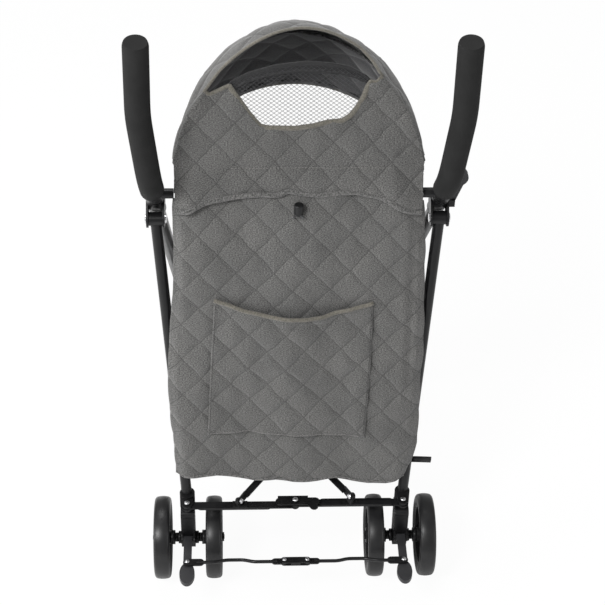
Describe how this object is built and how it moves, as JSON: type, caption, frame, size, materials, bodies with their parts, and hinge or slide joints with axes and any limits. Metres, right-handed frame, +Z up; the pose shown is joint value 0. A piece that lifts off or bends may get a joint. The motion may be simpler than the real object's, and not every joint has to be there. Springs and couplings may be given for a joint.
{
  "type": "umbrella stroller",
  "caption": "Folding umbrella stroller with two foam handles, quilted hood with a net window, hanging back panel with pocket, twin wheels and linked foot brakes.",
  "frame": {"origin": "on the floor under the middle of the whole outline", "axes": "+Z up, +Y the way the stroller rolls, +X to the right of the person pushing it"},
  "size_m": [0.5236, 0.7165, 1.0623],
  "materials": {
    "black_metal": "satin black powder coat",
    "steel": "zinc plated",
    "black_plastic": "fine grained moulding",
    "grey_plastic": "moulded",
    "tyre": "foam tyre, satin",
    "foam": "matte foam",
    "grey_cloth": "melange, diamond quilted",
    "dark_cloth": "lining",
    "mesh": "open net",
    "webbing": "woven strap"
  },
  "bodies": {
    "left_frame": {"left_main_tube": "black_metal", "left_grip": "foam", "left_shoulder_bracket": "black_plastic", "left_shoulder_pin": "steel", "left_canopy_clip": "black_plastic", "left_caster_head": "black_plastic", "canopy": "grey_cloth", "canopy_mesh": "mesh", "canopy_bow_rear": "black_plastic", "seat_pad": "dark_cloth", "calf_rest": "dark_cloth", "foot_strap": "webbing"},
    "left_rear_leg": {"left_rear_leg_tube": "black_metal", "left_rear_housing": "black_plastic", "left_rear_axle": "steel", "back_panel": "grey_cloth"},
    "crossbar_left": {"crossbar_left": "black_metal"},
    "crossbar_right": {"crossbar_right": "black_metal"},
    "right_rear_leg": {"right_rear_leg_tube": "black_metal", "right_rear_housing": "black_plastic", "right_rear_axle": "steel"},
    "right_frame": {"right_main_tube": "black_metal", "right_grip": "foam", "right_shoulder_bracket": "black_plastic", "right_shoulder_pin": "steel", "right_canopy_clip": "black_plastic", "right_caster_head": "black_plastic"},
    "cross_arm_left": {"cross_arm_left": "black_metal"},
    "cross_arm_right": {"cross_arm_right": "black_metal"},
    "left_seat_rail": {"left_seat_rail": "black_metal"},
    "right_seat_rail": {"right_seat_rail": "black_metal"},
    "brake_pedal_left": {"brake_pedal_left": "grey_plastic"},
    "brake_pedal_right": {"brake_pedal_right": "grey_plastic"},
    "brake_rod_left": {"brake_rod_left": "black_metal"},
    "brake_rod_right": {"brake_rod_right": "black_metal"},
    "brake_sleeve": {"brake_sleeve": "black_metal"},
    "crossbar_lock_tab": {"crossbar_lock_tab": "black_metal"},
    "transport_lever": {"transport_lever": "black_plastic"},
    "backrest": {"backrest_pad": "dark_cloth", "harness_straps": "webbing"},
    "harness_buckle": {"harness_buckle": "black_plastic"},
    "cord_toggle": {"cord_toggle": "black_plastic"},
    "canopy_hood": {"canopy_front": "grey_cloth", "canopy_bow_front": "black_plastic"},
    "left_rear_inner_wheel": {"left_rear_inner_tyre": "tyre", "left_rear_inner_rim": "black_plastic"},
    "left_rear_outer_wheel": {"left_rear_outer_tyre": "tyre", "left_rear_outer_rim": "black_plastic"},
    "left_fork": {"left_front_fork": "black_plastic"},
    "left_front_wheels": {"left_front_tyres": "tyre", "left_front_rims": "black_plastic", "left_front_axle": "steel"},
    "right_rear_inner_wheel": {"right_rear_inner_tyre": "tyre", "right_rear_inner_rim": "black_plastic"},
    "right_rear_outer_wheel": {"right_rear_outer_tyre": "tyre", "right_rear_outer_rim": "black_plastic"},
    "right_fork": {"right_front_fork": "black_plastic"},
    "right_front_wheels": {"right_front_tyres": "tyre", "right_front_rims": "black_plastic", "right_front_axle": "steel"}
  },
  "joints": [
    {"name": "fold", "type": "hinge", "parent": "left_frame", "child": "left_rear_leg", "pos_m": [-0.224, -0.113, 0.688], "axis": [1, 0, 0], "range_deg": [0, 33], "deforming": ["canopy", "canopy_mesh", "canopy_front", "canopy_bow_front", "canopy_bow_rear", "back_panel", "seat_pad", "backrest_pad", "calf_rest", "foot_strap", "harness_straps"]},
    {"name": "crossbar_left_pivot", "type": "hinge", "parent": "left_rear_leg", "child": "crossbar_left", "pos_m": [-0.186, -0.245, 0.1684], "axis": [0, 0, 1], "range_deg": [-68.2, 0]},
    {"name": "crossbar_centre_pivot", "type": "hinge", "parent": "crossbar_left", "child": "crossbar_right", "pos_m": [0, -0.245, 0.1717], "axis": [0, 0, 1], "range_deg": [0, 136.2]},
    {"name": "crossbar_right_pivot", "type": "hinge", "parent": "crossbar_right", "child": "right_rear_leg", "pos_m": [0.186, -0.245, 0.1717], "axis": [0, 0, 1], "range_deg": [-68.2, 0]},
    {"name": "right_shoulder", "type": "hinge", "parent": "right_rear_leg", "child": "right_frame", "pos_m": [0.224, -0.113, 0.688], "axis": [1, 0, 0], "range_deg": [-33.2, 0]},
    {"name": "cross_arm_left_rivet", "type": "hinge", "parent": "crossbar_left", "child": "cross_arm_left", "pos_m": [-0.095, -0.245, 0.1804], "axis": [0.7151, -0.4216, 0.5575], "range_deg": [0, 83.75]},
    {"name": "cross_arm_right_rivet", "type": "hinge", "parent": "crossbar_right", "child": "cross_arm_right", "pos_m": [0.095, -0.245, 0.1894], "axis": [0.7657, 0.4423, -0.467], "range_deg": [0, 84.95]},
    {"name": "left_rail_pivot", "type": "hinge", "parent": "left_frame", "child": "left_seat_rail", "pos_m": [-0.186, 0.12171, 0.43], "axis": [1, 0, 0], "range_deg": [-50.2, 0]},
    {"name": "right_rail_pivot", "type": "hinge", "parent": "right_frame", "child": "right_seat_rail", "pos_m": [0.186, 0.12171, 0.43], "axis": [1, 0, 0], "range_deg": [-50.2, 0]},
    {"name": "brake", "type": "hinge", "parent": "left_rear_leg", "child": "brake_pedal_left", "pos_m": [-0.186, -0.253, 0.092], "axis": [1, 0, 0], "range_deg": [0, 15]},
    {"name": "brake_right", "type": "hinge", "parent": "right_rear_leg", "child": "brake_pedal_right", "pos_m": [0.186, -0.253, 0.092], "axis": [1, 0, 0], "range_deg": [0, 15.1]},
    {"name": "brake_rod_left_pivot", "type": "hinge", "parent": "brake_pedal_left", "child": "brake_rod_left", "pos_m": [-0.186, -0.317, 0.106], "axis": [0, 0, 1], "range_deg": [-72.66, 0]},
    {"name": "brake_sleeve_pivot", "type": "hinge", "parent": "brake_rod_left", "child": "brake_sleeve", "pos_m": [-0.0195, -0.317, 0.106], "axis": [0, 0, 1], "range_deg": [0, 72.66]},
    {"name": "brake_rod_right_pivot", "type": "hinge", "parent": "brake_pedal_right", "child": "brake_rod_right", "pos_m": [0.186, -0.317, 0.106], "axis": [0, 0, 1], "range_deg": [0, 72.66]},
    {"name": "crossbar_lock", "type": "hinge", "parent": "crossbar_left", "child": "crossbar_lock_tab", "pos_m": [0, -0.245, 0.1767], "axis": [0, 0, 1], "range_deg": [0, 25]},
    {"name": "transport_lever_pivot", "type": "hinge", "parent": "right_frame", "child": "transport_lever", "pos_m": [0.2441, -0.09084, 0.70512], "axis": [0, 1, 0], "range_deg": [0, 35]},
    {"name": "left_rear_inner_spin", "type": "hinge", "parent": "left_rear_leg", "child": "left_rear_inner_wheel", "pos_m": [-0.141, -0.229, 0.0725], "axis": [1, 0, 0], "continuous": true},
    {"name": "left_rear_outer_spin", "type": "hinge", "parent": "left_rear_leg", "child": "left_rear_outer_wheel", "pos_m": [-0.231, -0.229, 0.0725], "axis": [1, 0, 0], "continuous": true},
    {"name": "left_swivel", "type": "hinge", "parent": "left_frame", "child": "left_fork", "pos_m": [-0.205, 0.319, 0.15], "axis": [0, 0, 1], "continuous": true},
    {"name": "left_front_spin", "type": "hinge", "parent": "left_fork", "child": "left_front_wheels", "pos_m": [-0.205, 0.284, 0.0725], "axis": [1, 0, 0], "continuous": true},
    {"name": "right_rear_inner_spin", "type": "hinge", "parent": "right_rear_leg", "child": "right_rear_inner_wheel", "pos_m": [0.141, -0.229, 0.0725], "axis": [1, 0, 0], "continuous": true},
    {"name": "right_rear_outer_spin", "type": "hinge", "parent": "right_rear_leg", "child": "right_rear_outer_wheel", "pos_m": [0.231, -0.229, 0.0725], "axis": [1, 0, 0], "continuous": true},
    {"name": "right_swivel", "type": "hinge", "parent": "right_frame", "child": "right_fork", "pos_m": [0.205, 0.319, 0.15], "axis": [0, 0, 1], "continuous": true},
    {"name": "right_front_spin", "type": "hinge", "parent": "right_fork", "child": "right_front_wheels", "pos_m": [0.205, 0.284, 0.0725], "axis": [1, 0, 0], "continuous": true},
    {"name": "recline", "type": "hinge", "parent": "left_frame", "child": "backrest", "pos_m": [0, -0.109, 0.411], "axis": [1, 0, 0], "range_deg": [0, 18], "deforming": ["back_panel"]},
    {"name": "canopy_fold", "type": "hinge", "parent": "left_frame", "child": "canopy_hood", "pos_m": [0, -0.117, 0.742], "axis": [1, 0, 0], "range_deg": [0, 28], "deforming": ["canopy_front", "canopy"]},
    {"name": "buckle_shift", "type": "slide", "parent": "left_frame", "child": "harness_buckle", "axis": [-1, 0, 0], "range_m": [0, 0.11732]},
    {"name": "toggle_shift", "type": "slide", "parent": "left_frame", "child": "cord_toggle", "axis": [-1, 0, 0], "range_m": [0, 0.11732]}
  ],
  "couplings": [
    {"joint": "crossbar_left_pivot", "follows": "fold", "ratio": -2.0606},
    {"joint": "crossbar_centre_pivot", "follows": "fold", "ratio": 4.1212},
    {"joint": "crossbar_right_pivot", "follows": "fold", "ratio": -2.0606},
    {"joint": "right_shoulder", "follows": "fold", "ratio": -1},
    {"joint": "cross_arm_left_rivet", "follows": "fold", "ratio": 2.5318},
    {"joint": "cross_arm_right_rivet", "follows": "fold", "ratio": 2.568},
    {"joint": "left_rail_pivot", "follows": "fold", "ratio": -1.5152},
    {"joint": "right_rail_pivot", "follows": "fold", "ratio": -1.5152},
    {"joint": "brake_right", "follows": "brake", "ratio": 1},
    {"joint": "brake_rod_left_pivot", "follows": "fold", "ratio": -2.1958},
    {"joint": "brake_sleeve_pivot", "follows": "fold", "ratio": 2.1958},
    {"joint": "brake_rod_right_pivot", "follows": "fold", "ratio": 2.1958},
    {"joint": "buckle_shift", "follows": "fold", "m_per_rad": 0.20196},
    {"joint": "toggle_shift", "follows": "fold", "m_per_rad": 0.20196}
  ]
}
